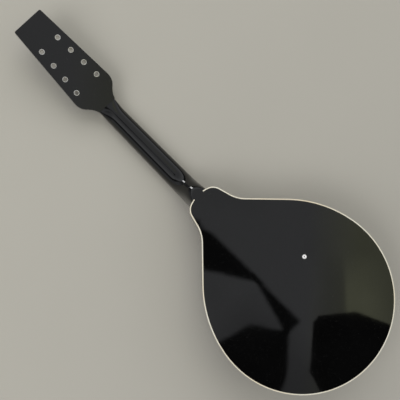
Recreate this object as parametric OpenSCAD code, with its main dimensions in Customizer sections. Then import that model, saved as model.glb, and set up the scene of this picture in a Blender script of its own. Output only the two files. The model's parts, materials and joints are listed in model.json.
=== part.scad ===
// Eight-string mandolin with a teardrop body, lying on its face.
// X runs along the strings towards the head, Y across, Z up out of the back.
// Three frames are used: the string frame (strings' plane at z = 0), the body
// frame (front edge of the rim at z = 0, tilted by the neck angle) and the head
// frame (front of the head at z = 0, pitched back from the neck). All in mm.

/* [Body outline] */
// Radius of the round lower bout
bout_r = 127.5; // [122:0.5:132]
// Radius of the long arc that leaves the lower bout
flank_r = 159; // [150:1:180]
// Angle past the widest point where the flank arc takes over
flank_start = 9; // [4:0.5:12]
// Angle at which the flank runs straight to the neck end
flank_angle = 44.3; // [43:0.1:46]
// Radius of the hollow between flank and shoulder
waist_r = 46; // [36:1:52]
// Angle of the shoulder's side to the centre line
shoulder_angle = 15; // [8:0.5:18]
// Radius of the round corner of the shoulder
shoulder_r = 17.5; // [14:0.5:20]
// Distance from the bout's centre to the neck end of the body
body_end = 197; // [194:0.5:204]

/* [Body depth] */
// Depth from the front edge of the rim to the highest point of the back
back_rise = 46; // [42:0.5:50]
// Radius of the spherical back
back_dome_r = 2400; // [1800:50:3200]
// Thickness of the back plate
back_t = 3; // [2.5:0.1:4]
// Thickness of the front plate at its edge
top_t = 4; // [3.5:0.1:5]
// Height of the arch carved in the front plate
top_arch = 9; // [6:0.5:10]
// Radius of the round arched field of the front plate
top_arch_r = 116; // [110:1:118]
// Thickness of the bent sides
rim_t = 3; // [2.5:0.1:3.5]
// Width of the edge binding
binding_w = 1.5; // [1.2:0.1:2]
// Depth of the edge binding
binding_h = 5; // [4.5:0.1:6]

/* [Neck] */
// String length from nut to saddle
scale_len = 352; // [345:0.5:356]
// Place of the saddle, from the centre of the lower bout
saddle_x = 21; // [18:0.5:32]
// Angle between the body and the strings
neck_angle = 6; // [5.5:0.1:6.5]
// Width of the neck at the nut
nut_w = 27.5; // [27:0.5:30]
// Width of the neck where it meets the body
joint_w = 32; // [31:0.5:34]
// Depth of the neck wood behind the fingerboard at the nut
shaft_depth = 13.5; // [13:0.5:15]
// Thickness of the fingerboard
board_t = 5.5; // [5:0.1:6]
// Number of frets
fret_count = 20; // [17:1:20]

/* [Head] */
// Length of the head from the nut to its square end
head_len = 153.5; // [146:0.5:156]
// Angle of the head behind the strings
head_angle = 12; // [10:0.5:16]
// Thickness of the head with its front veneer
head_t = 14.5; // [14:0.5:16]
// Greatest width of the head, at its shoulders
head_w = 62.4; // [61:0.2:64]
// Width of the head at its end
head_end_w = 46; // [45:0.2:48]
// Distance between post holes along the head
post_pitch = 23; // [22.5:0.1:23.5]
// First pair of post holes, from the nut
post_start = 43.4; // [39:0.1:45]
// Distance across the first pair of post holes
post_gap_near = 38; // [36:0.5:39]
// Distance across the last pair of post holes
post_gap_far = 29; // [28:0.5:30]
// Radius of the bore in each post bushing
post_bore_r = 3.05; // [2.95:0.05:3.2]

/* [Bridge] */
// Length of the bridge base across the body
bridge_len = 108; // [100:1:112]
// Distance from the centre to each height screw
screw_y = 26; // [24:0.5:28]
// Thread pitch of the height screws
screw_pitch = 0.794; // [0.7:0.001:0.8]

/* [Hidden] */
$fn = 64;

// Colours
black_lacquer = [0.04, 0.04, 0.042];
cream = [0.86, 0.83, 0.72];
spruce = [0.80, 0.66, 0.44];
maple = [0.78, 0.62, 0.42];
rosewood = [0.16, 0.09, 0.06];
nickel = [0.78, 0.78, 0.76];
bone = [0.92, 0.90, 0.84];
pearl = [0.88, 0.88, 0.86];

// Heights in the string frame: string plane 0, fret tops, board face, board back
string_gap = 1.3;
fret_h = 1.1;
board_face = string_gap + fret_h;
board_back = board_face + board_t;

// Places along the strings
nut_x = saddle_x + scale_len;
nut_t = 4;
middle_x = 199.19;
body_z = board_back + body_end * sin(neck_angle) + top_t * cos(neck_angle);

// Outline of the body: centres of its arcs
shoulder_end_r = 48;
shoulder_turn = 19.5;
flank_c = -(flank_r - bout_r) * [sin(flank_start), cos(flank_start)];
flank_n = [sin(flank_angle), cos(flank_angle)];
flank_d = [cos(flank_angle), -sin(flank_angle)];
end_c = [body_end - shoulder_end_r, 0];
shoulder_c = end_c + (shoulder_end_r - shoulder_r) * [cos(shoulder_turn), sin(shoulder_turn)];
side_n = [sin(shoulder_angle), cos(shoulder_angle)];
side_d = [cos(shoulder_angle), -sin(shoulder_angle)];
waist_a = flank_c + (flank_r + waist_r) * flank_n;
waist_b = shoulder_c + (shoulder_r + waist_r) * side_n;
waist_c = waist_a + cross(waist_b - waist_a, side_d) / cross(flank_d, side_d) * flank_d;

// Arch of the back and of the front
dome_x = 20;
dome_reach = 214;
arch_x = 6;
arch_ball_r = (top_arch_r * top_arch_r + top_arch * top_arch) / (2 * top_arch);
inner_arch_r = top_arch_r - 7;
inner_arch = top_arch - 0.6;
inner_ball_r = (inner_arch_r * inner_arch_r + inner_arch * inner_arch) / (2 * inner_arch);
lining_w = 5;
lining_h = 8;
neck_block_x = 150;
tail_block_x = -112;
eyelet_x = 35.6;
eyelet_y = -41.7;
eyelet_r = 1.7;

// Neck and heel
heel_start = body_end + 48;
heel_front = body_end + 7;
heel_depth = 60;
heel_round = 14;
heel_gap = 16.6;
rod_start = body_end + 11;
tenon = [20, 18, 30];
tenon_z = 3;
bushing_r = 3.6;
bushing_proud = 0.4;
rod_z = board_back + 6;
rod_r = 2.5;
veneer_t = 1.5;
pocket_w = 11;

// Bridge
base_face = 10;
wheel_t = 2.25;
play = 0.05;
screw_r = 1.8;
saddle_h = base_face - wheel_t - 2 * play;

// Tailpiece
sheet_t = 1.2;
tail_sheet_z = -7.4;
cover_barrel_r = 45;

function fret_x(n) = nut_x - scale_len * (1 - pow(2, -n / 12));
function board_w(x) = nut_w + (joint_w - nut_w) * (nut_x - x) / (nut_x - body_end);
function post_y(i) = (post_gap_near + (post_gap_far - post_gap_near) * i / 3) / 2;

// ---------- frames ----------

module string_frame() {
    translate([-middle_x, 0, 0]) children();
}

module body_frame() {
    string_frame() translate([0, 0, body_z]) rotate([0, neck_angle, 0]) children();
}

module head_frame() {
    string_frame() translate([nut_x + nut_t, 0, board_back]) rotate([0, -head_angle, 0]) children();
}

// ---------- shared shapes ----------

// Points along an arc from angle a0 to a1
function arc(c, r, a0, a1, n) = [for (i = [0 : n]) let (t = a0 + (a1 - a0) * i / n) c + r * [cos(t), sin(t)]];

// The same points seen across the centre line, in the other order
function across(points) = [for (i = [len(points) - 1 : -1 : 0]) [points[i][0], -points[i][1]]];

// Teardrop outline of the body, moved in by inset
module body_outline(inset = 0) {
    half = concat(
        arc([0, 0], bout_r - inset, 180, 90 - flank_start, 36),
        arc(flank_c, flank_r - inset, 88 - flank_start, 90 - flank_angle, 14),
        arc(waist_c, waist_r + inset, 270 - flank_angle, 270 - shoulder_angle, 10),
        arc(shoulder_c, shoulder_r - inset, 90 - shoulder_angle, shoulder_turn, 10),
        arc(end_c, shoulder_end_r - inset, shoulder_turn - 4, 0, 4)
    );
    polygon(concat(half, across([for (i = [1 : len(half) - 2]) half[i]])));
}

// Upright wall that follows the outline between two insets
module outline_ring(outer, inner) {
    translate([0, 0, -20]) linear_extrude(90) difference() {
        body_outline(outer);
        body_outline(inner);
    }
}

// Upright block with the whole outline
module outline_block(inset) {
    translate([0, 0, -20]) linear_extrude(90) body_outline(inset);
}

// Everything below the spherical back, lowered by drop
module under_back(drop) {
    translate([dome_x, 0, back_rise - drop]) rotate_extrude($fn = 180) intersection() {
        translate([0, -back_dome_r]) circle(r = back_dome_r, $fn = 2160);
        translate([0, -60]) square([dome_reach, 70]);
    }
}

// Half space in front of or behind the rim's front edge
module above_front(z) {
    translate([-200, -200, z]) cube([500, 400, 90]);
}

// Round shallow arch that stands out of the front by rise
module front_arch(ball_r, field_r, z) {
    translate([arch_x, 0, z]) rotate([180, 0, 0]) rotate_extrude($fn = 180) intersection() {
        translate([0, -sqrt(ball_r * ball_r - field_r * field_r)]) circle(r = ball_r, $fn = 1440);
        square([field_r, 30]);
    }
}

// Plan of the head, from behind the nut to its square end
module head_plan() {
    bend_r = 20;
    corner_r = 2;
    shoulder = [32.5, head_w / 2 - bend_r];
    hollow = [-6, 43.5];
    hollow_r = norm(shoulder - hollow) - bend_r;
    turn = atan2(hollow[1] - shoulder[1], hollow[0] - shoulder[0]);
    taper = atan2(head_w / 2 - head_end_w / 2, head_len - shoulder[0]);
    half = concat(
        arc(hollow, hollow_r, 270, 180 + turn, 8),
        arc(shoulder, bend_r, turn - 5, 90 - taper, 9),
        arc([head_len - corner_r, head_end_w / 2 - corner_r], corner_r, 90 - taper, 0, 4)
    );
    polygon(concat(half, across(half)));
}

// Puts its child at each of the eight post holes
module at_posts() {
    for (i = [0 : 3], s = [-1, 1])
        translate([post_start + i * post_pitch, s * post_y(i), 0]) children();
}

// ---------- body ----------

// Opening in the binding where the heel meets the back
module heel_mouth() {
    translate([body_end - 20, -heel_gap / 2, -20]) cube([60, heel_gap, 90]);
}

module back_plate() {
    color(black_lacquer) body_frame() difference() {
        intersection() {
            union() {
                outline_block(binding_w);
                intersection() {
                    outline_block(0);
                    heel_mouth();
                }
            }
            under_back(0);
        }
        under_back(back_t);
        translate([eyelet_x, eyelet_y, 30]) cylinder(r = eyelet_r, h = 30);
    }
}

module rim() {
    color(black_lacquer) body_frame() difference() {
        intersection() {
            outline_ring(0, rim_t);
            under_back(back_t);
            above_front(0);
        }
        difference() {
            outline_ring(-1, binding_w);
            under_back(binding_h);
            heel_mouth();
        }
        translate([body_end - tenon[0] + 2, -tenon[1] / 2, tenon_z]) cube(tenon);
    }
}

// Centre line and half width of one sound hole: small hook, slanted stem, large hook
hook_r = [12, 14];
eye_r = [4, 5.4];
stem_angle = 77;
stem_len = 56;
small_hook_c = [46, 43];
stem_out = [cos(stem_angle), sin(stem_angle)];
large_hook_c = small_hook_c + (hook_r[0] + hook_r[1]) * stem_out + stem_len * [-stem_out[1], stem_out[0]];
small_eye_c = small_hook_c + 8.7 * [cos(-58), sin(-58)];
large_eye_c = large_hook_c + 11.4 * [cos(66), sin(66)];
hole_path = concat(
    arc(small_hook_c, hook_r[0], -50, stem_angle, 12),
    arc(large_hook_c, hook_r[1], stem_angle + 180, 84, 12)
);
function hole_half(i) = 1.1 + 2.3 * sin(180 * i / (len(hole_path) - 1));
function along(i) = hole_path[min(i + 1, len(hole_path) - 1)] - hole_path[max(i - 1, 0)];
function beside(i) = [-along(i)[1], along(i)[0]] / norm(along(i));
function hole_edge(side) = [for (i = [0 : len(hole_path) - 1]) hole_path[i] + side * hole_half(i) * beside(i)];

module f_hole() {
    edge = hole_edge(-1);
    linear_extrude(30)
        polygon(concat(hole_edge(1), [for (i = [len(edge) - 1 : -1 : 0]) edge[i]]));
    translate([small_eye_c[0], small_eye_c[1], 0]) cylinder(r = eye_r[0], h = 30);
    translate([large_eye_c[0], large_eye_c[1], 0]) cylinder(r = eye_r[1], h = 30);
    nick = (hole_path[12] + hole_path[13]) / 2;
    translate([nick[0], nick[1], 15]) rotate([0, 0, stem_angle - 90]) cube([1.2, 10, 30], center = true);
}

module top_solid() {
    intersection() {
        outline_block(binding_w);
        translate([-200, -200, -top_t]) cube([500, 400, top_t]);
    }
    front_arch(arch_ball_r, top_arch_r, -top_t);
}

module top_plate() {
    color(black_lacquer) body_frame() difference() {
        top_solid();
        front_arch(inner_ball_r, inner_arch_r, 0);
        for (s = [0, 1])
            mirror([0, s, 0]) translate([0, 0, -20]) f_hole();
    }
}

module back_binding() {
    color(cream) body_frame() difference() {
        intersection() {
            outline_ring(0, binding_w);
            under_back(0);
        }
        under_back(binding_h);
        heel_mouth();
    }
}

module top_binding() {
    color(cream) body_frame() intersection() {
        outline_ring(0, binding_w);
        translate([-200, -200, -top_t]) cube([500, 400, top_t]);
    }
}

module lining_span() {
    translate([tail_block_x, -200, -20]) cube([neck_block_x - tail_block_x, 400, 90]);
}

module back_lining() {
    color(spruce) body_frame() difference() {
        intersection() {
            outline_ring(rim_t, rim_t + lining_w);
            under_back(back_t);
            lining_span();
        }
        under_back(back_t + lining_h);
    }
}

module top_lining() {
    color(spruce) body_frame() intersection() {
        outline_ring(rim_t, rim_t + lining_w);
        lining_span();
        translate([-200, -200, 0]) cube([500, 400, lining_h]);
    }
}

module neck_block() {
    color(maple) body_frame() difference() {
        intersection() {
            outline_block(rim_t);
            under_back(back_t);
            above_front(0);
            translate([neck_block_x, -50, -20]) cube([60, 100, 90]);
        }
        translate([body_end - tenon[0] + 2, -tenon[1] / 2, tenon_z]) cube(tenon);
    }
}

module tail_block() {
    color(maple) body_frame() intersection() {
        outline_block(rim_t);
        under_back(back_t);
        above_front(0);
        translate([tail_block_x - 60, -36, -20]) cube([60, 72, 90]);
    }
}

module tone_bars() {
    color(spruce) body_frame() difference() {
        for (s = [-1, 1])
            translate([-72, s * 24 - 3, -inner_arch]) cube([150, 6, inner_arch + 8]);
        top_plate_blank();
    }
}

// Front plate with no sound holes, used to seat the bars
module top_plate_blank() {
    difference() {
        top_solid();
        front_arch(inner_ball_r, inner_arch_r, 0);
    }
}

module back_braces() {
    color(spruce) body_frame() intersection() {
        for (x = [-48, 62])
            translate([x, -200, back_rise - back_t - 13]) cube([8, 400, 20]);
        outline_block(rim_t + lining_w);
        under_back(back_t);
    }
}

// ---------- neck ----------

// Depth of the neck wood at x, heel included
function heel_u(x) = min(1.1, max(0, (heel_start - x) / (heel_start - heel_front)));
function neck_depth(x) =
    shaft_depth + 2.5 * (nut_x - x) / (nut_x - heel_start)
    + (heel_depth - shaft_depth - 2.5) * pow(heel_u(x), 2.3);

// Height of the spherical back over the strings, carried on over the heel
dome_c = [
    dome_x * cos(neck_angle) + (back_rise - back_dome_r) * sin(neck_angle),
    body_z - dome_x * sin(neck_angle) + (back_rise - back_dome_r) * cos(neck_angle)
];
function back_over(x, y) = dome_c[1] + sqrt(pow(back_dome_r, 2) - pow(x - dome_c[0], 2) - y * y);

// The lower of two heights, with their meeting rounded over a height of about k
function rounded_min(a, b, k) = min(a, b) - pow(max(k - abs(a - b), 0), 2) / (4 * k);

// How far the round neck has turned into the flat head: 0 on the neck, 1 at the glue line
head_blend_len = 22;
function head_blend(x) = let (u = max(0, (x - nut_x - nut_t + head_blend_len) / head_blend_len)) u * u * (3 - 2 * u);

// Closed section of the neck: flat on the board side, round behind, level with the back at the
// heel and squared off towards the head
neck_sides = 44;
function neck_section(x) = [
    for (i = [0 : neck_sides])
        let (
            t = 180 * i / neck_sides,
            b = head_blend(x),
            y = cos(t) * (board_w(x) / 2 + 0.45 * b),
            z = board_back + pow(sin(t), 0.92 - 0.78 * b) * (neck_depth(x) + 1.3 * b)
        )
        [x, y, x > heel_start ? z : rounded_min(z, back_over(x, y), heel_round)]
];

head_stations = [for (i = [0 : 8]) nut_x + nut_t - i * head_blend_len / 8];
shaft_end = nut_x + nut_t - head_blend_len;
shaft_stations = [for (i = [1 : 7]) shaft_end + (heel_start - shaft_end) * i / 8];
heel_stations = [for (i = [0 : 25]) heel_start - i * 2.2];
neck_stations = concat(head_stations, shaft_stations, heel_stations);

// Skin over a row of closed sections that run towards -X
module loft(sections) {
    n = len(sections[0]);
    m = len(sections);
    side = [
        for (j = [0 : m - 2], i = [0 : n - 1])
            let (a = j * n + i, b = j * n + (i + 1) % n)
            each [[a, b + n, a + n], [a, b, b + n]]
    ];
    first = [for (i = [0 : n - 1]) n - 1 - i];
    last = [for (i = [0 : n - 1]) (m - 1) * n + i];
    polyhedron(points = [for (s = sections, p = s) p], faces = concat(side, [first, last]), convexity = 6);
}

module neck_wood() {
    difference() {
        string_frame() loft([for (x = neck_stations) neck_section(x)]);
        body_frame() outline_block(0);
    }
    body_frame() translate([body_end - tenon[0] + 2, -tenon[1] / 2, tenon_z]) cube(tenon);
}

module neck() {
    color(black_lacquer) difference() {
        neck_wood();
        string_frame() translate([rod_start - 2, -rod_r, board_back - 5])
            cube([nut_x + nut_t - rod_start + 3, 2 * rod_r, rod_z + rod_r - board_back + 5]);
    }
}

// Head with its glue line square to the strings at the back of the nut
module head() {
    color(black_lacquer) difference() {
        head_frame() translate([0, 0, veneer_t]) linear_extrude(head_t - veneer_t) head_plan();
        string_frame() translate([nut_x + nut_t - 80, -40, -20]) cube([80, 80, 120]);
        head_frame() at_posts() translate([0, 0, -1]) cylinder(r = bushing_r, h = 20);
        string_frame() translate([nut_x + nut_t - 1, -pocket_w / 2, board_back - 5])
            cube([17, pocket_w, rod_z + 5 - board_back + 5]);
    }
}

module headplate() {
    color(black_lacquer) head_frame() difference() {
        linear_extrude(veneer_t) intersection() {
            head_plan();
            translate([0.4, -40]) square([head_len, 80]);
        }
        at_posts() translate([0, 0, -1]) cylinder(r = bushing_r, h = 20);
        translate([-1, -pocket_w / 2, -1]) cube([18, pocket_w, 4]);
    }
}

module truss_rod() {
    color(nickel) string_frame() {
        translate([rod_start, 0, rod_z]) rotate([0, 90, 0]) cylinder(r = rod_r, h = nut_x + nut_t - rod_start);
        translate([nut_x + nut_t, 0, rod_z]) rotate([0, 90, 0]) cylinder(r = 1.9, h = 12);
    }
}

module truss_rod_strip() {
    color(maple) string_frame()
        translate([rod_start, -rod_r, board_back]) cube([nut_x - rod_start, 2 * rod_r, rod_z - rod_r - board_back]);
}

module truss_rod_nut() {
    color(nickel) string_frame() translate([nut_x + nut_t + 2, 0, rod_z]) rotate([0, 90, 0]) difference() {
        union() {
            cylinder(r = 3.4, h = 6, $fn = 6);
            cylinder(r = 2.7, h = 8);
        }
        translate([0, 0, -1]) cylinder(r = 1.95, h = 12.5);
    }
}

module truss_rod_cover() {
    color(black_lacquer) head_frame() translate([0, 0, -1.8]) difference() {
        linear_extrude(1.8) polygon(concat(
            [[1, -9.5], [12, -7]],
            arc([22, 0], 5, -84, 84, 12),
            [[12, 7], [1, 9.5]]
        ));
        for (p = [[4, 6.2], [4, -6.2], [23.5, 0]])
            translate([p[0], p[1], -1]) cylinder(r = 0.75, h = 4);
    }
}

module truss_cover_screws() {
    color(nickel) head_frame()
        for (p = [[4, 6.2], [4, -6.2], [23.5, 0]])
            translate([p[0], p[1], -1.8]) rotate([180, 0, 0]) translate([0, 0, 0.4])
                rotate_extrude($fn = 32) polygon([[0, 0.4], [0.8, 0.4], [1.5, 0], [1.5, -0.4], [0.75, -0.4],
                                                  [0.75, -2.6], [0, -3]]);
}

module board_plan(x0, x1) {
    polygon([[x0, board_w(x0) / 2], [x1, board_w(x1) / 2], [x1, -board_w(x1) / 2], [x0, -board_w(x0) / 2]]);
}

board_end = fret_x(fret_count) - 6;
dot_frets = [5, 7, 10, 15];

module at_dots() {
    for (n = dot_frets)
        translate([(fret_x(n) + fret_x(n - 1)) / 2, 0, board_face]) children();
    for (s = [-1, 1])
        translate([(fret_x(12) + fret_x(11)) / 2, s * 7, board_face]) children();
}

module at_side_dots() {
    for (n = dot_frets)
        translate([(fret_x(n) + fret_x(n - 1)) / 2, -board_w(fret_x(n)) / 2, board_face + 2.5]) children();
}

module fingerboard() {
    color(rosewood) string_frame() difference() {
        translate([0, 0, board_face]) linear_extrude(board_t) board_plan(board_end, nut_x);
        for (n = [1 : fret_count])
            translate([fret_x(n) - 0.3, -30, board_face - 1]) cube([0.6, 60, 2.6]);
        at_dots() translate([0, 0, -1]) cylinder(r = 2.5, h = 2.2);
        at_side_dots() rotate([90, 0, 0]) translate([0, 0, -1.5]) cylinder(r = 0.8, h = 5);
    }
}

module fingerboard_riser() {
    color(black_lacquer) difference() {
        string_frame() translate([0, 0, board_back]) linear_extrude(16) intersection() {
            board_plan(board_end + 2, body_end + 20);
            translate([board_end, -12]) square([200, 24]);
        }
        body_frame() top_plate_blank();
        body_frame() above_front(-top_t);
        body_frame() difference() {
            translate([0, -60, -60]) cube([300, 120, 90]);
            outline_block(0);
        }
    }
}

module frets() {
    color(nickel) string_frame()
        for (n = [1 : fret_count]) {
            w = board_w(fret_x(n));
            translate([fret_x(n), -w / 2, board_face]) {
                intersection() {
                    rotate([-90, 0, 0]) cylinder(r = fret_h, h = w, $fn = 24);
                    translate([-2, -1, -2]) cube([4, w + 2, 2]);
                }
                translate([-0.3, 0, 0]) cube([0.6, w, 1.6]);
            }
        }
}

module position_dots() {
    color(pearl) string_frame() at_dots() cylinder(r = 2.5, h = 1.2);
}

module side_dots() {
    color(pearl) string_frame() at_side_dots() rotate([90, 0, 0]) translate([0, 0, -1.5]) cylinder(r = 0.8, h = 1.5);
}

module nut() {
    color(bone) string_frame() difference() {
        translate([nut_x, -nut_w / 2, 0]) cube([nut_t, nut_w, board_back]);
        for (i = [0 : 3], s = [-1, 1])
            translate([nut_x - 1, (i - 1.5) * 6.6 + s * 1.1, 0]) rotate([0, 90, 0]) cylinder(r = 0.4, h = 6, $fn = 16);
    }
}

module post_bushings() {
    color(nickel) head_frame() at_posts() difference() {
        union() {
            cylinder(r = bushing_r, h = head_t + bushing_proud);
            translate([0, 0, -1.2]) cylinder(r1 = 4.6, r2 = 5.4, h = 1.2);
        }
        translate([0, 0, -3]) cylinder(r = post_bore_r, h = head_t + 6);
    }
}

// ---------- bridge ----------

module bridge_base() {
    color(rosewood) difference() {
        string_frame() translate([saddle_x, 0, 0]) difference() {
            translate([-6, -bridge_len / 2, base_face]) cube([12, bridge_len, 24]);
            for (s = [-1, 1]) {
                translate([-7, s * bridge_len / 2, base_face]) rotate([0, 90, 0]) cylinder(r = 6, h = 14);
                translate([0, s * screw_y, base_face - 1]) cylinder(r = screw_r, h = 6);
            }
            translate([-7, 0, base_face + 19]) rotate([0, 90, 0]) cylinder(r = 13.5, h = 14);
        }
        body_frame() above_front(-top_t);
        body_frame() front_arch(arch_ball_r, top_arch_r, -top_t);
    }
}

module bridge_screws() {
    color(nickel) string_frame() for (s = [-1, 1])
        translate([saddle_x, s * screw_y, 2.5]) cylinder(r = screw_r, h = base_face + 5 - 2.5);
}

module bridge_saddle() {
    color(rosewood) string_frame() translate([saddle_x, 0, 0]) difference() {
        union() {
            translate([0, 36, 0]) rotate([90, 0, 0]) linear_extrude(72)
                polygon([[-2.5, 0], [2.5, 0], [4.5, saddle_h - 3], [4.5, saddle_h], [-4.5, saddle_h], [-4.5, saddle_h - 3]]);
        }
        for (s = [-1, 1]) {
            translate([0, s * screw_y, 1.6]) cylinder(r = screw_r + 0.1, h = 20);
            translate([-7, s * 40.5, -2]) rotate([0, 90, 0]) cylinder(r = 7, h = 14);
        }
        for (i = [0 : 3], s = [-1, 1])
            translate([-5, (i - 1.5) * 11.5 + s * 1.4, 0]) rotate([0, 90, 0]) cylinder(r = 0.4, h = 10, $fn = 16);
    }
}

module thumbwheel(side) {
    color(nickel) string_frame() translate([saddle_x, side * screw_y, saddle_h + play]) difference() {
        cylinder(r = 6, h = wheel_t);
        translate([0, 0, -1]) cylinder(r = screw_r + play, h = 5);
        for (a = [0 : 15 : 345])
            rotate([0, 0, a]) translate([6.3, 0, -1]) cylinder(r = 0.6, h = 5, $fn = 16);
    }
}

module treble_thumbwheel() {
    thumbwheel(1);
}

module bass_thumbwheel() {
    thumbwheel(-1);
}

// ---------- tailpiece ----------

// Places of the tailpiece's screws on the rim: across, and up from its front edge
tail_screws = [[-9, 8], [9, 8], [0, 22]];

module tailpiece_base() {
    color(nickel) body_frame() difference() {
        union() {
            intersection() {
                difference() {
                    translate([0, 0, tail_sheet_z]) linear_extrude(44) body_outline(-sheet_t);
                    translate([0, 0, tail_sheet_z - 1]) linear_extrude(60) body_outline(0);
                }
                translate([-bout_r - 5, -15, tail_sheet_z]) cube([20, 30, 38]);
            }
            translate([0, 0, tail_sheet_z]) linear_extrude(sheet_t) intersection() {
                body_outline(-sheet_t);
                translate([-bout_r - 5, -15]) square([31, 30]);
            }
            for (i = [0 : 3])
                translate([-106, (i - 1.5) * 7 - 1, tail_sheet_z - 2.6]) cube([4, 2, 3]);
        }
        for (p = tail_screws)
            translate([-bout_r - 20, p[0], p[1]]) rotate([0, 90, 0]) cylinder(r = 1.1, h = 40);
    }
}

module tailpiece_cover() {
    color(nickel) body_frame() translate([-bout_r + 1, 0, tail_sheet_z - 0.1]) rotate([180, 0, 0]) difference() {
        intersection() {
            linear_extrude(8) polygon(concat(
                [[0, -17]],
                arc([22, 0], 17, -90, 90, 24),
                [[0, 17]]
            ));
            translate([-14, 0, 8 - cover_barrel_r]) rotate([0, 90, 0]) cylinder(r = cover_barrel_r, h = 80, $fn = 240);
        }
        translate([-1, -15.6, -1]) cube([40, 31.2, 5.4]);
    }
}

module tailpiece_screws() {
    color(nickel) body_frame() for (p = tail_screws)
        translate([-sqrt(bout_r * bout_r - p[0] * p[0]) - 0.9, p[0], p[1]]) rotate([0, -90, 0]) rotate_extrude($fn = 32)
            polygon([[0, 2.2], [1.4, 2], [2.3, 0.9], [2.3, 0.5], [1.1, 0.5], [1.1, -8], [0, -9]]);
}

module back_eyelet() {
    color(cream) body_frame() translate([eyelet_x, eyelet_y, back_rise - 0.45]) difference() {
        union() {
            cylinder(r1 = 3, r2 = 2.4, h = 0.7);
            translate([0, 0, -back_t]) cylinder(r = eyelet_r, h = back_t + 0.2);
        }
        translate([0, 0, -5]) cylinder(r = 0.9, h = 8);
    }
}

back_plate();
rim();
top_plate();
back_binding();
top_binding();
back_lining();
top_lining();
neck_block();
tail_block();
tone_bars();
back_braces();
neck();
head();
headplate();
truss_rod();
truss_rod_strip();
truss_rod_nut();
truss_rod_cover();
truss_cover_screws();
fingerboard();
fingerboard_riser();
frets();
position_dots();
side_dots();
nut();
post_bushings();
bridge_base();
bridge_screws();
bridge_saddle();
treble_thumbwheel();
bass_thumbwheel();
tailpiece_base();
tailpiece_cover();
tailpiece_screws();
back_eyelet();
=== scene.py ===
"""Looks of a teardrop mandolin that lies on its face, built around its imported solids."""

import json
import math

import bpy
from mathutils import Matrix, Vector

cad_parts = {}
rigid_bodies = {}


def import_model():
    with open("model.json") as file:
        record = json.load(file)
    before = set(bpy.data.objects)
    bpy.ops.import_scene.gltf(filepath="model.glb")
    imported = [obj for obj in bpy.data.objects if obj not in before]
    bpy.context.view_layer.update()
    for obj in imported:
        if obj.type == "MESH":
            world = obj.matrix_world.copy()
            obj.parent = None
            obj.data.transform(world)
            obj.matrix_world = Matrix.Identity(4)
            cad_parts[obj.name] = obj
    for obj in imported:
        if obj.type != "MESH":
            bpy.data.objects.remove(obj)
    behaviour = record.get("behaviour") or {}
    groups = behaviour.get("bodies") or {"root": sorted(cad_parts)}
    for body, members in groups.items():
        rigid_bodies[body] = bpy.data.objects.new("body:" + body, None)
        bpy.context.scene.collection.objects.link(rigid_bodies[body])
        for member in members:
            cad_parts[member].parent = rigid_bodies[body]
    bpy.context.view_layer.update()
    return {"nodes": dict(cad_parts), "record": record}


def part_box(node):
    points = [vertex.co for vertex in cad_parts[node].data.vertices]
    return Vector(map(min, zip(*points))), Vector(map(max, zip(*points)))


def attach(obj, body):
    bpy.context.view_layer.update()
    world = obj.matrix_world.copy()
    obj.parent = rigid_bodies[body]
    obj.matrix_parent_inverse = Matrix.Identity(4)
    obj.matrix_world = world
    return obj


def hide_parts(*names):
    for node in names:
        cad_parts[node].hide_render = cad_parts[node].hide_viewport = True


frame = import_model()

bl_info = {
    "name": "Mandolin finish",
    "version": (1, 0, 0),
    "blender": (4, 5, 0),
    "location": "View3D > Sidebar > Mandolin",
    "description": "Lacquer, binding, metalwork and studio for a teardrop mandolin",
    "category": "Object",
}

# ---------- the instrument's own frames ----------

MM = 0.001
NECK_TILT = math.radians(6)
HEAD_TILT = math.radians(12)
BODY_X = -199.19 * MM  # where the body's drawing starts along the row
NUT_X = 377 * MM  # from there to the nut, where the head starts
BODY_END = 197 * MM  # from there to the body's end at the heel
BOARD_BACK = 7.9 * MM  # back face of the fingerboard above the floor
RISER = 4 * MM  # wedge between the rim's front edge and the fingerboard

# turned and screwed pieces are drawn in millimetres, so these are too
TAIL_RADIUS = 127.5  # of the sides' outline at the tail
HEAD_THICK = 14.5
BACK_SEAT = 46.0  # height of the back over the rim's front edge, where the ring sits


def body_matrix():
    """Body frame (front edge of the rim at z = 0) to the row frame."""
    lift = BOARD_BACK + BODY_END * math.sin(NECK_TILT) + RISER * math.cos(NECK_TILT)
    return Matrix.Translation((BODY_X, 0, lift)) @ Matrix.Rotation(NECK_TILT, 4, "Y")


def head_matrix():
    """Head frame (front of the head at z = 0) to the row frame."""
    nut = Matrix.Translation((NUT_X + BODY_X, 0, BOARD_BACK))
    return nut @ Matrix.Rotation(-HEAD_TILT, 4, "Y")


def frame_mount(name):
    for mount in frame["record"]["mounts"]:
        if mount["name"] == name:
            return mount
    raise RuntimeError("no mount is called " + name)


def body_of(node):
    for body, nodes in frame["record"]["behaviour"]["bodies"].items():
        if node in nodes:
            return body
    raise RuntimeError("no body holds " + node)


def box_of(node):
    """Low corner, high corner and middle of a CAD node."""
    low, high = (Vector(corner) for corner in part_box(node))
    return low, high, (low + high) / 2


# ---------- shader maths ----------


class Value:
    """A shader socket that can be added, multiplied and so on like a number."""

    def __init__(self, graph, socket):
        self.graph = graph
        self.socket = socket

    def _math(self, operation, first, second):
        return self.graph.node("ShaderNodeMath", {"operation": operation}, {0: first, 1: second})

    def __add__(self, other):
        return self._math("ADD", self, other)

    def __radd__(self, other):
        return self._math("ADD", other, self)

    def __sub__(self, other):
        return self._math("SUBTRACT", self, other)

    def __rsub__(self, other):
        return self._math("SUBTRACT", other, self)

    def __mul__(self, other):
        return self._math("MULTIPLY", self, other)

    def __rmul__(self, other):
        return self._math("MULTIPLY", other, self)

    def __truediv__(self, other):
        return self._math("DIVIDE", self, other)

    def __rtruediv__(self, other):
        return self._math("DIVIDE", other, self)


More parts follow.
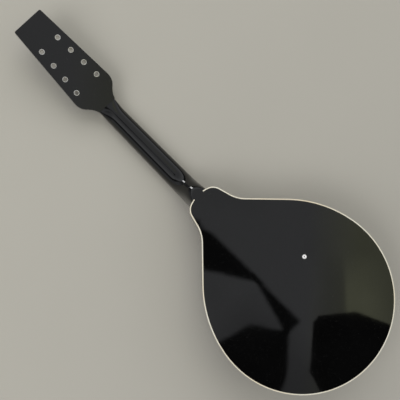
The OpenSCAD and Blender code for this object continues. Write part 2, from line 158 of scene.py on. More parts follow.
class Graph:
    """A node tree that is wired up by calling its methods."""

    def __init__(self, tree):
        self.tree = tree

    def node(self, kind, settings, inputs, output=0):
        """Adds a node, sets it up, fills its sockets and returns one output."""
        made = self.tree.nodes.new(kind)
        for key, setting in settings.items():
            setattr(made, key, setting)
        for key, content in inputs.items():
            if isinstance(content, Value):
                self.tree.links.new(content.socket, made.inputs[key])
            else:
                made.inputs[key].default_value = content
        return Value(self, made.outputs[output])

    def clouds(self, where, scale, detail=3.0, rough=0.5, distort=0.0):
        sockets = {"Scale": scale, "Detail": detail, "Roughness": rough, "Distortion": distort}
        return self.node("ShaderNodeTexNoise", {}, {"Vector": where, **sockets})

    def ramp(self, factor, low, high, bottom=0.0, top=1.0):
        """factor from low..high becomes bottom..top, clamped."""
        sockets = {"From Min": low, "From Max": high, "To Min": bottom, "To Max": top}
        return self.node("ShaderNodeMapRange", {"clamp": True}, {"Value": factor, **sockets})

    def mix(self, factor, first, second):
        """Colour mix; first and second are colours (r, g, b, a) or links."""
        sockets = {0: factor, 6: first, 7: second}
        return self.node("ShaderNodeMix", {"data_type": "RGBA"}, sockets, 2)


class Finish(Graph):
    """A material with one Principled shader, laid out in object coordinates."""

    def __init__(self, name, roughness=0.3, metallic=0.0, **fixed):
        self.material = bpy.data.materials.new(name)
        self.material.use_nodes = True
        super().__init__(self.material.node_tree)
        self.shader = self.tree.nodes["Principled BSDF"]
        self.shader.inputs["Roughness"].default_value = roughness
        self.shader.inputs["Metallic"].default_value = metallic
        for key, number in fixed.items():
            self.shader.inputs[key].default_value = number
        self.place = self.node("ShaderNodeTexCoord", {}, {}, "Object")

    def noise(self, scale, detail=3.0, rough=0.5, where=None, distort=0.0):
        return self.clouds(where or self.place, scale, detail, rough, distort)

    def stretched(self, scale, turn=(0, 0, 0)):
        sockets = {"Vector": self.place, "Rotation": turn, "Scale": scale}
        return self.node("ShaderNodeMapping", {}, sockets)

    def bump(self, height, strength, distance):
        sockets = {"Height": height, "Strength": strength, "Distance": distance}
        return self.node("ShaderNodeBump", {}, sockets)

    def drive(self, **sockets):
        """Links values into Base_Color, Roughness, Normal and the like."""
        for key, content in sockets.items():
            self.tree.links.new(content.socket, self.shader.inputs[key.replace("_", " ")])
        return self.material


def shaded(colour, by):
    """A colour with each channel scaled on its own."""
    return (colour[0] * by[0], colour[1] * by[1], colour[2] * by[2], 1.0)


def rgba(colour, k=1.0):
    return shaded(colour, (k, k, k))


# ---------- finishes ----------

# the light and the dark colour of each wood
ROSEWOOD = ((0.115, 0.055, 0.034), (0.034, 0.016, 0.011))
SPRUCE = ((0.72, 0.54, 0.33), (0.52, 0.34, 0.18))
MAPLE = ((0.66, 0.48, 0.30), (0.50, 0.34, 0.20))


def lacquer_finish(name, colour, gloss=0.035, wave=0.1):
    """Sprayed gloss lacquer over filled wood: deep, faintly wavy, with fine polishing marks."""
    f = Finish(name, roughness=gloss, IOR=1.5)
    haze = f.ramp(f.noise(9.0, 4.0, 0.6), 0.45, 0.72)
    dust = f.ramp(f.noise(900.0, 1.0), 0.70, 0.78)
    swirl = f.noise(1.0, 6.0, 0.65, f.stretched((30, 260, 260), (0, 0, 0.5)))
    streak = f.ramp(swirl, 0.58, 0.74)
    rough = f.ramp(haze, 0, 1, gloss, gloss + 0.035) + streak * 0.02 + dust * 0.12
    tint = f.mix(haze, rgba(colour), rgba(colour, 1.5))
    tint = f.mix(dust * 0.25, tint, (0.10, 0.10, 0.095, 1))
    level = f.noise(26.0, 2.0) * 0.8 + f.noise(150.0, 2.0) * 0.05 + dust * 0.02
    return f.drive(Base_Color=tint, Roughness=rough, Normal=f.bump(level, wave, 0.0004))


def binding_finish(name, colour, aged=0.74):
    """Scraped and polished plastic binding, slightly yellowed in places."""
    f = Finish(name, roughness=0.28, IOR=1.5)
    patch = f.ramp(f.noise(14.0, 3.0), 0.35, 0.7)
    scrape = f.noise(1.0, 3.0, 0.6, f.stretched((60, 60, 500)))
    tint = f.mix(patch, rgba(colour), shaded(colour, (0.96, (1 + aged) / 2, aged)))
    grime = f.ramp(f.noise(240.0, 2.0), 0.62, 0.8)
    tint = f.mix(grime * 0.35, tint, (0.32, 0.28, 0.20, 1))
    rough = f.ramp(scrape, 0.3, 0.7, 0.2, 0.38)
    return f.drive(Base_Color=tint, Roughness=rough, Normal=f.bump(scrape, 0.05, 0.0001))


def nickel_finish(name, colour, rough=0.16, brushed=0.0):
    """Nickel plate, a little cloudy, with fine wiping scratches."""
    f = Finish(name, roughness=rough, metallic=1.0)
    cloud = f.ramp(f.noise(70.0, 4.0, 0.6), 0.4, 0.7)
    scratch = f.noise(1.0, 4.0, 0.7, f.stretched((180, 2600, 900), (0.3, 0.2, 0.7)))
    lines = f.ramp(scratch, 0.55, 0.75)
    tint = f.mix(cloud, rgba(colour), shaded(colour, (0.84, 0.81, 0.75)))
    rough = f.ramp(cloud, 0, 1, rough, rough + 0.1) + lines * (0.08 + brushed)
    marks = f.bump(scratch, 0.05 + brushed, 0.00005)
    return f.drive(Base_Color=tint, Roughness=rough, Normal=marks)


def wood_finish(name, light, dark, grain=1.0, rough=0.55, along="X", pores=0.5):
    """Planed wood: year lines, fibres and pores that run along one axis."""
    f = Finish(name, roughness=rough, IOR=1.5)
    fibre = {"X": (14, 520, 520), "Y": (520, 14, 520)}[along]
    ring = {"X": (1.5, 95, 60), "Y": (95, 1.5, 60)}[along]
    rings = f.noise(grain, 2.0, 0.5, f.stretched(ring), 0.6)
    fibres = f.noise(1.0, 5.0, 0.65, f.stretched(fibre))
    pore = f.noise(1.0, 2.0, 0.5, f.stretched(tuple(2.2 * v for v in fibre)))
    pore = f.ramp(pore, 0.64, 0.72)
    tone = f.ramp(rings, 0.34, 0.66)
    tint = f.mix(tone, rgba(light), rgba(dark))
    tint = f.mix(f.ramp(fibres, 0.35, 0.7) * 0.45, tint, rgba(dark, 0.8))
    tint = f.mix(pore * pores, tint, rgba(dark, 0.35))
    rough = f.ramp(fibres, 0.3, 0.7, rough - 0.08, rough + 0.12)
    height = fibres * 0.5 + tone * 0.2 - pore * 0.6
    return f.drive(Base_Color=tint, Roughness=rough, Normal=f.bump(height, 0.35, 0.00015))


def bone_finish(name, colour):
    """Polished bone with faint fibres."""
    f = Finish(name, roughness=0.3, IOR=1.5)
    fibre = f.noise(1.0, 4.0, 0.6, f.stretched((700, 60, 300)))
    fleck = f.ramp(fibre, 0.55, 0.75)
    tint = f.mix(fleck, rgba(colour), shaded(colour, (0.86, 0.78, 0.62)))
    rough = f.ramp(fibre, 0.3, 0.7, 0.22, 0.36)
    return f.drive(Base_Color=tint, Roughness=rough, Normal=f.bump(fibre, 0.08, 0.0001))


def pearl_finish(name, colour):
    """Pearloid: soft cloudy swirls."""
    f = Finish(name, roughness=0.2, IOR=1.55)
    swirl = f.noise(260.0, 3.0, 0.5, None, 2.5)
    tint = f.mix(f.ramp(swirl, 0.35, 0.65), rgba(colour), shaded(colour, (0.78, 0.84, 0.88)))
    return f.drive(Base_Color=tint, Roughness=f.ramp(swirl, 0.3, 0.7, 0.12, 0.28))


def floor_finish(name, colour):
    """Plain studio floor or cloth with a faint tooth."""
    f = Finish(name, roughness=0.85, IOR=1.0)
    mottle = f.noise(3.0, 3.0)
    tint = f.mix(f.ramp(mottle, 0.3, 0.7), rgba(colour), rgba(colour, 0.97))
    tooth = f.noise(700.0, 2.0)
    rough = f.ramp(tooth, 0.3, 0.7, 0.8, 0.92)
    return f.drive(Base_Color=tint, Roughness=rough, Normal=f.bump(tooth, 0.1, 0.0003))


# ---------- modelling helpers ----------


def deselect():
    if bpy.context.object and bpy.context.object.mode != "OBJECT":
        bpy.ops.object.mode_set(mode="OBJECT")
    bpy.ops.object.select_all(action="DESELECT")


def pick(obj):
    deselect()
    obj.hide_set(False)
    obj.select_set(True)
    bpy.context.view_layer.objects.active = obj


def edit_all():
    """Opens the active piece for editing with its whole mesh selected."""
    bpy.ops.object.mode_set(mode="EDIT")
    bpy.ops.mesh.select_all(action="SELECT")


def edit_done():
    bpy.ops.object.mode_set(mode="OBJECT")


def settle(obj, matrix=None):
    """Puts the piece's place into its mesh and leaves the object at the origin."""
    if matrix is not None:
        obj.matrix_world = matrix @ obj.matrix_world
        bpy.context.view_layer.update()
    pick(obj)
    bpy.ops.object.transform_apply(location=True, rotation=True, scale=True)
    return obj


def smooth(obj, degrees):
    pick(obj)
    bpy.ops.object.shade_smooth_by_angle(angle=math.radians(degrees))


def apply_modifier(obj, kind, name, **settings):
    pick(obj)
    modifier = obj.modifiers.new(name, kind)
    for key, setting in settings.items():
        setattr(modifier, key, setting)
    bpy.ops.object.modifier_apply(modifier=name)


def takes_over(obj, material, node):
    """A finished piece stands in for a CAD node: it rides on the node's body, and the node is
    hidden.
    """
    obj.data.materials.clear()
    obj.data.materials.append(material)
    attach(obj, body_of(node))
    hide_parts(node)


def wears(node, material):
    """A CAD node keeps its shape and gets a finish."""
    mesh = frame["nodes"][node].data
    mesh.materials.clear()
    mesh.materials.append(material)


def surfaced_copy(node, name, degrees):
    """A welded, smoothly shaded copy of a CAD node."""
    pick(frame["nodes"][node])
    bpy.ops.object.duplicate()
    copy = bpy.context.object
    bpy.ops.object.parent_clear(type="CLEAR_KEEP_TRANSFORM")
    copy.name = copy.data.name = name
    edit_all()
    bpy.ops.mesh.customdata_custom_splitnormals_clear()
    bpy.ops.mesh.remove_doubles(threshold=2e-6)
    edit_done()
    smooth(copy, degrees)
    return copy


def softened(node, name, width, segments=2, degrees=35):
    """A copy of a CAD node whose sharp edges are rounded over."""
    copy = surfaced_copy(node, name, degrees)
    pick(copy)
    edit_all()
    bpy.ops.mesh.dissolve_limited(angle_limit=math.radians(0.3))
    edit_done()
    edges = {"limit_method": "ANGLE", "angle_limit": math.radians(degrees)}
    apply_modifier(copy, "BEVEL", "rounded edges", width=width, segments=segments, **edges)
    smooth(copy, 89)
    flat = {"keep_sharp": True, "weight": 100}
    apply_modifier(copy, "WEIGHTED_NORMAL", "flat faces stay flat", **flat)
    return copy


def turned(name, profile, sides=40, ring=False):
    """A piece turned on the Z axis through (radius, height) pairs in millimetres."""
    radius, height = profile[0]
    deselect()
    bpy.ops.mesh.primitive_circle_add(vertices=sides, radius=radius * MM)
    piece = bpy.context.object
    piece.name = piece.data.name = name
    edit_all()
    bpy.ops.transform.translate(value=(0, 0, height * MM))
    for wider, higher in profile[1:]:
        rise = {"value": (0, 0, (higher - height) * MM)}
        bpy.ops.mesh.extrude_region_move(TRANSFORM_OT_translate=rise)
        grow = wider / radius
        middle = (0, 0, higher * MM)
        bpy.ops.transform.resize(value=(grow, grow, 1), center_override=middle)
        radius, height = wider, higher
    bpy.ops.mesh.select_all(action="SELECT")
    bpy.ops.mesh.remove_doubles(threshold=1e-6)
    if not ring:
        bpy.ops.mesh.select_all(action="SELECT")
        bpy.ops.mesh.fill_holes(sides=0)
    bpy.ops.mesh.select_all(action="SELECT")
    bpy.ops.mesh.normals_make_consistent(inside=False)
    edit_done()
    smooth(piece, 40)
    return piece


def cut_slot(piece, width, depth, top, across=8 * MM):
    """Saws a screwdriver slot along X into the top of a screw."""
    deselect()
    bpy.ops.mesh.primitive_cube_add(size=1, location=(0, 0, top))
    saw = bpy.context.object
    saw.scale = (across, width, 2 * depth)
    settle(saw)
    cut = {"operation": "DIFFERENCE", "object": saw, "solver": "EXACT"}
    apply_modifier(piece, "BOOLEAN", "slot", **cut)
    bpy.data.objects.remove(saw)
    smooth(piece, 40)


def set_out(master, places):
    """Copies a piece to each named place, each with its own mesh, and clears the pattern away."""
    made = []
    for name, matrix in places:
        pick(master)
        bpy.ops.object.duplicate(linked=False)
        copy = bpy.context.object
        copy.name = copy.data.name = name
        made.append(settle(copy, matrix))
    bpy.data.objects.remove(master)
    return made


# ---------- settings ----------


class MandolinSettings(bpy.types.PropertyGroup):
    """Colours and edges of the instrument"""

    lacquer: bpy.props.FloatVectorProperty(
        name="Lacquer",
        description="Colour under the clear coat",
        subtype="COLOR",
        default=(0.0018, 0.0018, 0.0018),
    )
    binding: bpy.props.FloatVectorProperty(
        name="Binding",
        description="Colour of the edge binding",
        subtype="COLOR",
        default=(0.80, 0.76, 0.64),
    )
    nickel: bpy.props.FloatVectorProperty(
        name="Nickel",
        description="Colour of the plated metal",
        subtype="COLOR",
        default=(0.74, 0.72, 0.68),
    )
    edge_round: bpy.props.FloatProperty(
        name="Edge rounding",
        description="Radius sanded on lacquered edges",
        unit="LENGTH",
        default=1.1 * MM,
    )


class MandolinStudio(bpy.types.PropertyGroup):
    """Floor, light and lens"""

    floor: bpy.props.FloatVectorProperty(
        name="Floor",
        description="Colour of the floor",
        subtype="COLOR",
        default=(0.468, 0.447, 0.396),
    )
    air: bpy.props.FloatVectorProperty(
        name="Air",
        description="Colour of the soft light from above",
        subtype="COLOR",
        default=(0.60, 0.61, 0.63),
    )
    focal: bpy.props.FloatProperty(
        name="Focal length",
        description="Lens in millimetres on a 36 mm wide sensor",
        default=48.4,
    )


# ---------- pieces ----------


class MANDOLIN_OT_body(bpy.types.Operator):
    """Lacquered back, sides and front"""

    bl_idname = "mandolin.body"
    bl_label = "Body"

    def execute(self, context):
        black = lacquer_finish("black_lacquer", context.scene.mandolin.lacquer)
        for node in ("back_plate", "rim", "top_plate", "fingerboard_riser"):
            takes_over(surfaced_copy(node, node + "_lacquered", 25), black, node)
        return {"FINISHED"}


class MANDOLIN_OT_neck(bpy.types.Operator):
    """Carved neck and heel, head and its front veneer"""

    bl_idname = "mandolin.neck"
    bl_label = "Neck and head"

    def execute(self, context):
        settings = context.scene.mandolin
        black = lacquer_finish("neck_lacquer", settings.lacquer, 0.045, 0.06)
        takes_over(surfaced_copy("neck", "neck_lacquered", 34), black, "neck")
        for node in ("head", "headplate"):
            takes_over(softened(node, node + "_lacquered", settings.edge_round, 3), black, node)
        return {"FINISHED"}


class MANDOLIN_OT_binding(bpy.types.Operator):
    """Cream binding round back and front"""

    bl_idname = "mandolin.binding"
    bl_label = "Binding"

    def execute(self, context):
        cream = binding_finish("cream_binding", context.scene.mandolin.binding)
        for node in ("back_binding", "top_binding"):
            takes_over(surfaced_copy(node, node + "_scraped", 25), cream, node)
        return {"FINISHED"}


class MANDOLIN_OT_bushings(bpy.types.Operator):
    """Eight turned bushings that line the post holes of the head"""

    bl_idname = "mandolin.bushings"
    bl_label = "Post bushings"

    def execute(self, context):
        nickel = nickel_finish("bushing_nickel", (0.97, 0.96, 0.95), 0.14)
        bore = frame_mount("post_bore_treble_1")["dims"]["r_mm"]
        tube, flange = 3.6, 5.4  # radii in the head and on its front
        lip, foot = HEAD_THICK + 0.5, -1.2
        pattern = turned(
            "bushing_pattern",
            [
                (bore, foot + 0.2),
                (bore, lip - 0.1),
                (bore + 0.06, lip),
                (bore + 0.6, lip),
                (bore + 0.68, lip - 0.1),
                (bore + 0.7, HEAD_THICK),
                (tube, HEAD_THICK),
                (tube, 0),
                (flange - 0.1, 0),
                (flange, -0.2),
                (flange - 0.6, foot + 0.15),
                (flange - 0.9, foot),
                (bore + 0.2, foot),
                (bore, foot + 0.2),
            ],
            ring=True,
        )
        places = []
        for side in ("treble", "bass"):
            for pair in range(1, 5):
                mount = frame_mount("post_bore_%s_%d" % (side, pair))
                middle = head_matrix().inverted() @ Vector(mount["pos_m"])
                spot = Matrix.Translation((middle.x, middle.y, 0))
                places.append(("bushing_%s_%d" % (side, pair), head_matrix() @ spot))
        for bushing in set_out(pattern, places):
            takes_over(bushing, nickel, "post_bushings")
        return {"FINISHED"}


class MANDOLIN_OT_ring(bpy.types.Operator):
    """Small white ring let into the back"""

    bl_idname = "mandolin.ring"
    bl_label = "Ring on the back"

    def execute(self, context):
        white = binding_finish("ring_white", (0.98, 0.94, 0.95), 0.95)
        hole, tube, brim = 0.9, 1.7, 3.0  # radii
        foot, seat = BACK_SEAT - 3.4, BACK_SEAT - 0.55  # heights of its tube and its brim
        ring = turned(
            "back_ring",
            [
                (hole, foot),
                (hole, BACK_SEAT),
                (1.1, BACK_SEAT + 0.25),
                (1.6, BACK_SEAT + 0.38),
                (2.2, BACK_SEAT + 0.28),
                (2.75, BACK_SEAT),
                (brim, seat + 0.2),
                (brim - 0.1, seat),
                (tube, seat),
                (tube, foot),
                (hole, foot),
            ],
            ring=True,
        )
        place = body_matrix().inverted() @ box_of("back_eyelet")[2]
        settle(ring, body_matrix() @ Matrix.Translation((place.x, place.y, 0)))
        takes_over(ring, white, "back_eyelet")
        return {"FINISHED"}


class MANDOLIN_OT_board(bpy.types.Operator):
    """Fingerboard, frets, dots and nut"""

    bl_idname = "mandolin.board"
    bl_label = "Fingerboard"

    def execute(self, context):
        rosewood = wood_finish("board_rosewood", *ROSEWOOD, rough=0.38)
        board = softened("fingerboard", "fingerboard_planed", 0.35 * MM)
        takes_over(board, rosewood, "fingerboard")
        bone = bone_finish("bone", (0.82, 0.78, 0.68))
        takes_over(softened("nut", "nut_polished", 0.3 * MM), bone, "nut")
        pearl = pearl_finish("pearloid", (0.82, 0.82, 0.78))
        wears("position_dots", pearl)
        wears("side_dots", pearl)
        wears("frets", nickel_finish("fret_wire", context.scene.mandolin.nickel, 0.2))
        return {"FINISHED"}


class MANDOLIN_OT_bridge(bpy.types.Operator):
    """Bridge foot, saddle, height screws and thumbwheels"""

    bl_idname = "mandolin.bridge"
    bl_label = "Bridge"

    KNURLS = 72  # edges round a wheel, every other one drawn inwards
    WHEEL = 6.0  # radii in mm
    WHEEL_BORE = 1.85
    CREST = 1.8
    CORE = 1.55
    PITCH = 0.794

    def execute(self, context):
        rosewood = wood_finish("bridge_rosewood", *ROSEWOOD, rough=0.4, along="Y")
        for node in ("bridge_base", "bridge_saddle"):
            takes_over(softened(node, node + "_oiled", 0.4 * MM), rosewood, node)
        nickel = nickel_finish("bridge_nickel", context.scene.mandolin.nickel, 0.2)
        for side in ("treble", "bass"):
            node = side + "_thumbwheel"
            takes_over(self.wheel(node, side + "_wheel_knurled"), nickel, node)
        for screw in self.screws():
            takes_over(screw, nickel, "bridge_screws")
        return {"FINISHED"}

    def wheel(self, node, name):
        low, high, middle = box_of(node)
        thick = (high.z - low.z) / MM
        edge = self.WHEEL - 0.5
        profile = [
            (self.WHEEL_BORE, 0),
            (edge, 0),
            (self.WHEEL, 0.35),
            (self.WHEEL, thick - 0.35),
            (edge, thick),
            (self.WHEEL_BORE, thick),
            (self.WHEEL_BORE, 0),
        ]
        wheel = turned(name, profile, self.KNURLS, ring=True)
        for vertex in wheel.data.vertices:
            step = round(math.atan2(vertex.co.y, vertex.co.x) / (2 * math.pi / self.KNURLS))
            rim = math.hypot(vertex.co.x, vertex.co.y) > (self.WHEEL - 0.1) * MM
            vertex.select = rim and step % 2 == 0
        pick(wheel)
        bpy.context.tool_settings.mesh_select_mode = (True, False, False)
        bpy.ops.object.mode_set(mode="EDIT")
        bpy.ops.transform.resize(value=(0.94, 0.94, 1), center_override=(0, 0, 0))
        edit_done()
        return settle(wheel, Matrix.Translation((middle.x, middle.y, low.z)))

    def screws(self):
        """Two threaded screws, with a whole number of turns that fills their height."""
        low, high, middle = box_of("bridge_screws")
        tall = (high.z - low.z) / MM
        turns = int(tall / self.PITCH)
        pitch = tall / turns
        thread = [(1.2, 0)]
        for turn in range(turns):
            steps = ((self.CORE, 0.15), (self.CREST, 0.5), (self.CORE, 0.85))
            thread += [(radius, (turn + part) * pitch) for radius, part in steps]
        thread.append((1.2, tall))
        across = high.y - self.CREST * MM
        places = [
            ("bridge_screw_" + side, Matrix.Translation((middle.x, way * across, low.z)))
            for side, way in (("treble", 1), ("bass", -1))
        ]
        return set_out(turned("screw_pattern", thread, 24), places)


class MANDOLIN_OT_tailpiece(bpy.types.Operator):
    """Pressed tailpiece, its slide-off cover and three domed screws"""

    bl_idname = "mandolin.tailpiece"
    bl_label = "Tailpiece"

    SCREW_PLACES = ((-9, 8), (9, 8), (0, 22))  # mm across the tail and up its side

    def execute(self, context):
        nickel = nickel_finish("tailpiece_nickel", context.scene.mandolin.nickel, 0.14)
        base = surfaced_copy("tailpiece_base", "tailpiece_base_pressed", 30)
        takes_over(base, nickel, "tailpiece_base")
        cover = softened("tailpiece_cover", "tailpiece_cover_pressed", 0.5 * MM, 3, 40)
        takes_over(cover, nickel, "tailpiece_cover")
        shank, point, crown = 1.1, -8.6, 2.2
        profile = [
            (0.3, point),
            (shank, point + 1.2),
            (shank, 0.5),
            (2.3, 0.5),
            (2.35, 0.75),
            (2.2, 1.2),
            (1.8, 1.7),
            (1.2, 2.05),
            (0.5, crown),
        ]
        pattern = turned("tail_screw_pattern", profile, 32)
        cut_slot(pattern, 0.55 * MM, 0.9 * MM, crown * MM)
        places = []
        for number, (across, up) in enumerate(self.SCREW_PLACES, 1):
            out = math.sqrt(TAIL_RADIUS**2 - across**2) + 0.9
            spot = Matrix.Translation((-out * MM, across * MM, up * MM))
            spot = spot @ Matrix.Rotation(-math.pi / 2, 4, "Y") @ Matrix.Rotation(0.5, 4, "Z")
            places.append(("tail_screw_%d" % number, body_matrix() @ spot))
        for screw in set_out(pattern, places):
            takes_over(screw, nickel, "tailpiece_screws")
        return {"FINISHED"}


class MANDOLIN_OT_truss(bpy.types.Operator):
    """Truss rod, its nut, and the cover on the head's front"""

    bl_idname = "mandolin.truss"
    bl_label = "Truss rod"

    def execute(self, context):
        nickel = context.scene.mandolin.nickel
        cover = softened("truss_rod_cover", "truss_cover_moulded", 0.4 * MM)
        plastic = lacquer_finish("black_plastic", (0.01, 0.01, 0.01), 0.12, 0.05)
        takes_over(cover, plastic, "truss_rod_cover")
        wears("truss_cover_screws", nickel_finish("screw_nickel", nickel, 0.2))
        wears("truss_rod_nut", nickel_finish("truss_nickel", nickel, 0.25))
        wears("truss_rod", nickel_finish("drawn_steel", (0.5, 0.5, 0.51), 0.32, 0.1))
        return {"FINISHED"}


class MANDOLIN_OT_inside(bpy.types.Operator):
    """Bare wood inside the body and neck"""

    bl_idname = "mandolin.inside"
    bl_label = "Inside woods"

    def execute(self, context):
        spruce = wood_finish("spruce", *SPRUCE, rough=0.65)
        maple = wood_finish("maple", *MAPLE, grain=0.8, rough=0.6, pores=0.2)
        for node in ("back_lining", "top_lining", "tone_bars"):
            wears(node, spruce)
        wears("back_braces", wood_finish("spruce_across", *SPRUCE, rough=0.65, along="Y"))
        for node in ("neck_block", "tail_block", "truss_rod_strip"):
            wears(node, maple)
        return {"FINISHED"}


# ---------- studio ----------


class Air(Graph):
    """The light round the object, laid out by where a direction leaves the ceiling."""

    def __init__(self):
        self.world = bpy.data.worlds.new("studio_air")
        self.world.use_nodes = True
        super().__init__(self.world.node_tree)
        self.way = self.node("ShaderNodeTexCoord", {}, {}, "Generated")
        axes = (self.node("ShaderNodeSeparateXYZ", {}, {0: self.way}, axis) for axis in range(3))
        self.x, self.y, self.z = axes
        up = self.node("ShaderNodeMath", {"operation": "MAXIMUM"}, {0: self.z, 1: 0.05})
        self.u, self.v = self.x / up, self.y / up

    def card(self, *edges):
        """Each edge of a card faces an angle in degrees and lies at a distance from the zenith."""
        inside = 1
        for angle, distance in edges:
            turn = math.radians(angle)
            reach = self.u * math.cos(turn) + self.v * math.sin(turn)
            inside = inside * self.ramp(reach, distance + 0.006, distance - 0.006)
        return inside

    def shine(self, colour):
        """Lights the world; the camera itself sees a plain pale wall."""
        seen = self.node("ShaderNodeLightPath", {}, {}, "Is Camera Ray")
        sky = self.mix(seen, colour, (0.62, 0.61, 0.59, 1))
        background = self.tree.nodes["Background"]
        self.tree.links.new(sky.socket, background.inputs["Color"])
        return self.world


def studio_air(colour):
    """Soft light from above, dimmer near the floor, with dark cards under the ceiling."""
    air = Air()
    y, z, u, v = air.y, air.z, air.u, air.v

    # three cards: a long slat, an arm beside it, and the big one nearest to the neck
    slat = air.card((-90, 0.050), (122, -0.034), (0, 0.31))
    arm = air.card((-90, 0.047), (0, 0.03), (74, -0.035), (180, 0.168))
    near = air.card((-15, -0.083), (-56, -0.090), (223, 0.121), (202, 0.199), (90, 0.24))
    cards = 1 - air.ramp(slat + arm + near, 0, 1, 0, 0.98)

    # the walls: dim towards the floor, higher up on the left, dimmer in one corner
    left = air.ramp(y, 0.0, 0.5)
    height = z - left * 0.46
    skirting = left * air.ramp(z, 0.5, 0.35) * 0.4 + 0.06
    wall = air.ramp(height, 0.18, 0.26, skirting, 1.0) * air.ramp(z, -0.02, 0.02)
    corner = air.ramp(v, -0.04, 0.04) * air.ramp(u, 0.02, -0.1)

    # the olive wall behind the tail, with a lit doorway and the shade beside it
    side, fore = u + v, v - u
    warm = air.ramp(u * 0.75 + v * 0.65, -0.17, -0.33)
    warm = warm * air.ramp(v, -0.75, -0.45) * air.ramp(u, -0.9, -0.6)
    doorway = air.ramp(side, -0.40, -0.42) * air.ramp(side, -0.61, -0.5)
    doorway = doorway * air.ramp(fore, -0.16, 0.03)
    jamb = air.ramp(side, -0.26, -0.34) * air.ramp(side, -0.42, -0.40)
    jamb = jamb * air.ramp(fore, -0.16, -0.06)

    tint = air.mix(warm, rgba(colour), shaded(colour, (1.3, 1.32, 0.88)))
    tint = air.mix(air.ramp(height, 0.75, 0.25), tint, rgba(colour, 1.7))
    tint = air.mix(doorway, tint, shaded(colour, (1.85, 1.88, 1.22)))
    patches = air.ramp(air.clouds(air.way, 5.0, 2.0), 0.3, 0.7, 0.92, 1.08)
    light = wall * (1 - corner * 0.3) * (1 - jamb * 0.18) * cards * patches
    return air.shine(air.mix(light, (0, 0, 0, 1), tint))


def hung_flag(name, height, *edges):
    """A black card over the object, sawn from a square, that keeps light off and darkens gloss."""
    deselect()
    bpy.ops.mesh.primitive_plane_add(size=3, location=(0, 0, height))
    flag = bpy.context.object
    flag.name = flag.data.name = name
    settle(flag)
    bpy.ops.object.mode_set(mode="EDIT")
    for angle, distance in edges:
        turn = math.radians(angle)
        out = Vector((math.cos(turn), math.sin(turn), 0))
        edge = out * distance + Vector((0, 0, height))
        bpy.ops.mesh.select_all(action="SELECT")
        bpy.ops.mesh.bisect(plane_co=edge, plane_no=out, clear_outer=True, use_fill=False)
    edit_done()
    flag.visible_camera = flag.visible_transmission = False
    flag.data.materials.append(floor_finish("flag_cloth", (0.002, 0.002, 0.002)))


def lamp(context, name, place, size, power, gloss_only=False):
    """A soft lamp that faces the object; one kind shows only as a spark on polish."""
    light = bpy.data.lights.new(name, "AREA")
    light.shape = "RECTANGLE"
    light.size, light.size_y = size
    light.energy = power
    holder = bpy.data.objects.new(name, light)
    context.scene.collection.objects.link(holder)
    holder.location = place
    holder.rotation_euler = (-Vector(place)).to_track_quat("-Z", "Y").to_euler()
    holder.visible_glossy = gloss_only
    holder.visible_diffuse = not gloss_only


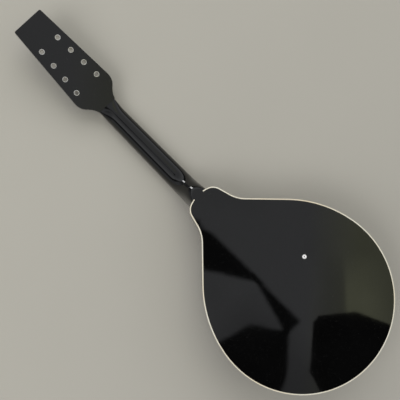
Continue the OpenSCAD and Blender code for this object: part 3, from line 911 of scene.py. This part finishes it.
class MANDOLIN_OT_studio(bpy.types.Operator):
    """Pale floor, soft lamps and the camera"""

    bl_idname = "mandolin.studio"
    bl_label = "Studio"

    CAMERA_PLACE = (0.03614, 0.0730, 0.78175)
    CAMERA_TURN = (1.486, -6.215, -134.785)  # degrees: nearly straight down, head up left

    def execute(self, context):
        studio = context.scene.mandolin_studio
        deselect()
        bpy.ops.mesh.primitive_plane_add(size=12, location=(0, 0, -0.2 * MM))
        floor = context.object
        floor.name = floor.data.name = "studio_floor"
        settle(floor)
        floor.data.materials.append(floor_finish("floor_paint", studio.floor))

        sawn = ((76, -0.041), (40, -0.386), (2, -0.449), (-40, -0.272), (-66, -0.005))
        hung_flag("low_flag", 1.2, *sawn)
        context.scene.world = studio_air(studio.air)
        lamp(context, "window_lamp", (0.3, 1.5, 1.7), (1.4, 1.4), 15)
        lamp(context, "fill_lamp", (1.1, -1.1, 1.7), (1.8, 1.8), 15)
        lamp(context, "heel_spark", (1.15, -0.2, 0.17), (0.2, 0.26), 1.9, gloss_only=True)

        lens = bpy.data.cameras.new("studio_camera")
        lens.sensor_width = 36
        lens.lens = studio.focal
        lens.clip_start = 0.01
        lens.clip_end = 50
        camera = bpy.data.objects.new("studio_camera", lens)
        context.scene.collection.objects.link(camera)
        camera.location = self.CAMERA_PLACE
        camera.rotation_euler = [math.radians(angle) for angle in self.CAMERA_TURN]
        context.scene.camera = camera
        context.scene.view_settings.view_transform = "Standard"
        return {"FINISHED"}


# ---------- panel and registration ----------

STEPS = (
    MANDOLIN_OT_body,
    MANDOLIN_OT_neck,
    MANDOLIN_OT_binding,
    MANDOLIN_OT_bushings,
    MANDOLIN_OT_ring,
    MANDOLIN_OT_board,
    MANDOLIN_OT_bridge,
    MANDOLIN_OT_tailpiece,
    MANDOLIN_OT_truss,
    MANDOLIN_OT_inside,
    MANDOLIN_OT_studio,
)


class MANDOLIN_PT_panel(bpy.types.Panel):
    """Settings and steps of the mandolin"""

    bl_idname = "MANDOLIN_PT_panel"
    bl_label = "Mandolin"
    bl_space_type = "VIEW_3D"
    bl_region_type = "UI"
    bl_category = "Mandolin"

    def draw(self, context):
        for group in (context.scene.mandolin, context.scene.mandolin_studio):
            for name in group.__annotations__:
                self.layout.prop(group, name)
        for step in STEPS:
            self.layout.operator(step.bl_idname)


CLASSES = (MandolinSettings, MandolinStudio) + STEPS + (MANDOLIN_PT_panel,)


def register():
    for cls in CLASSES:
        bpy.utils.register_class(cls)
    bpy.types.Scene.mandolin = bpy.props.PointerProperty(type=MandolinSettings)
    bpy.types.Scene.mandolin_studio = bpy.props.PointerProperty(type=MandolinStudio)


def unregister():
    del bpy.types.Scene.mandolin_studio
    del bpy.types.Scene.mandolin
    for cls in reversed(CLASSES):
        bpy.utils.unregister_class(cls)


def main():
    register()
    bpy.ops.mandolin.body()
    bpy.ops.mandolin.neck()
    bpy.ops.mandolin.binding()
    bpy.ops.mandolin.bushings()
    bpy.ops.mandolin.ring()
    bpy.ops.mandolin.board()
    bpy.ops.mandolin.bridge()
    bpy.ops.mandolin.tailpiece()
    bpy.ops.mandolin.truss()
    bpy.ops.mandolin.inside()
    bpy.ops.mandolin.studio()


if __name__ == "__main__":
    main()
